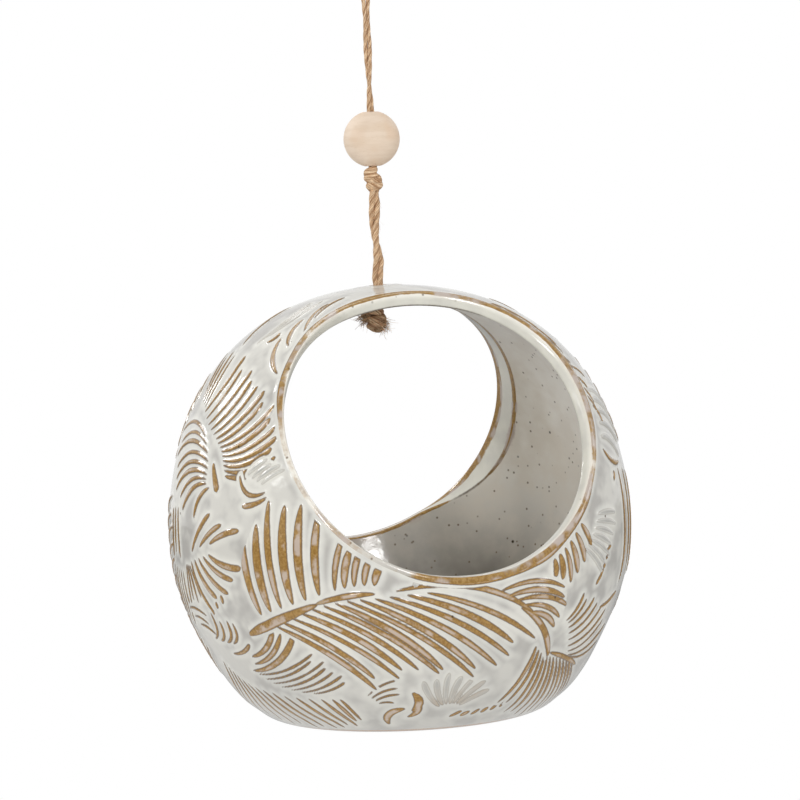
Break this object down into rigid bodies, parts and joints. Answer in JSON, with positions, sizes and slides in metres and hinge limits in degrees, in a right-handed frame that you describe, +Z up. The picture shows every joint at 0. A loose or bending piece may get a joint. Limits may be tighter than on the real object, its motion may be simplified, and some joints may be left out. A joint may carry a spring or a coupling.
{
  "type": "hanging planter",
  "caption": "Glazed stoneware ball planter with round openings front and back, hung from its strap by a knotted jute cord with a wooden bead.",
  "frame": {"origin": "where a hook bears on the inside of the hanging loop's bight", "axes": "+Z up along the cord, +X to the right, -Y to the front of the pot"},
  "size_m": [0.165, 0.163, 0.276],
  "materials": {
    "glazed_stoneware": "glossy off-white glaze that breaks to ochre brown on raised leaf strokes and along the rims",
    "turned_wood": "pale sanded wood, not varnished",
    "jute": "twisted natural fibre with loose hairs"
  },
  "bodies": {
    "cord": {"hanging_loop": "jute", "bead_knot": "jute", "lower_cord": "jute"},
    "bead": {"bead": "turned_wood"},
    "stopper": {"stopper_knot": "jute", "cut_end_left": "jute", "cut_end_right": "jute"},
    "pot": {"pot": "glazed_stoneware"}
  },
  "joints": [
    {"name": "bead_slide", "type": "slide", "parent": "cord", "child": "bead", "axis": [0, 0, 1], "range_m": [0, 0.035]},
    {"name": "pot_swing", "type": "hinge", "parent": "cord", "child": "stopper", "pos_m": [0, 0, -0.12025], "axis": [1, 0, 0], "range_deg": [-15, 15]},
    {"name": "pot_swivel", "type": "hinge", "parent": "stopper", "child": "pot", "pos_m": [0, 0, -0.12025], "axis": [0, 0, 1], "continuous": true}
  ]
}
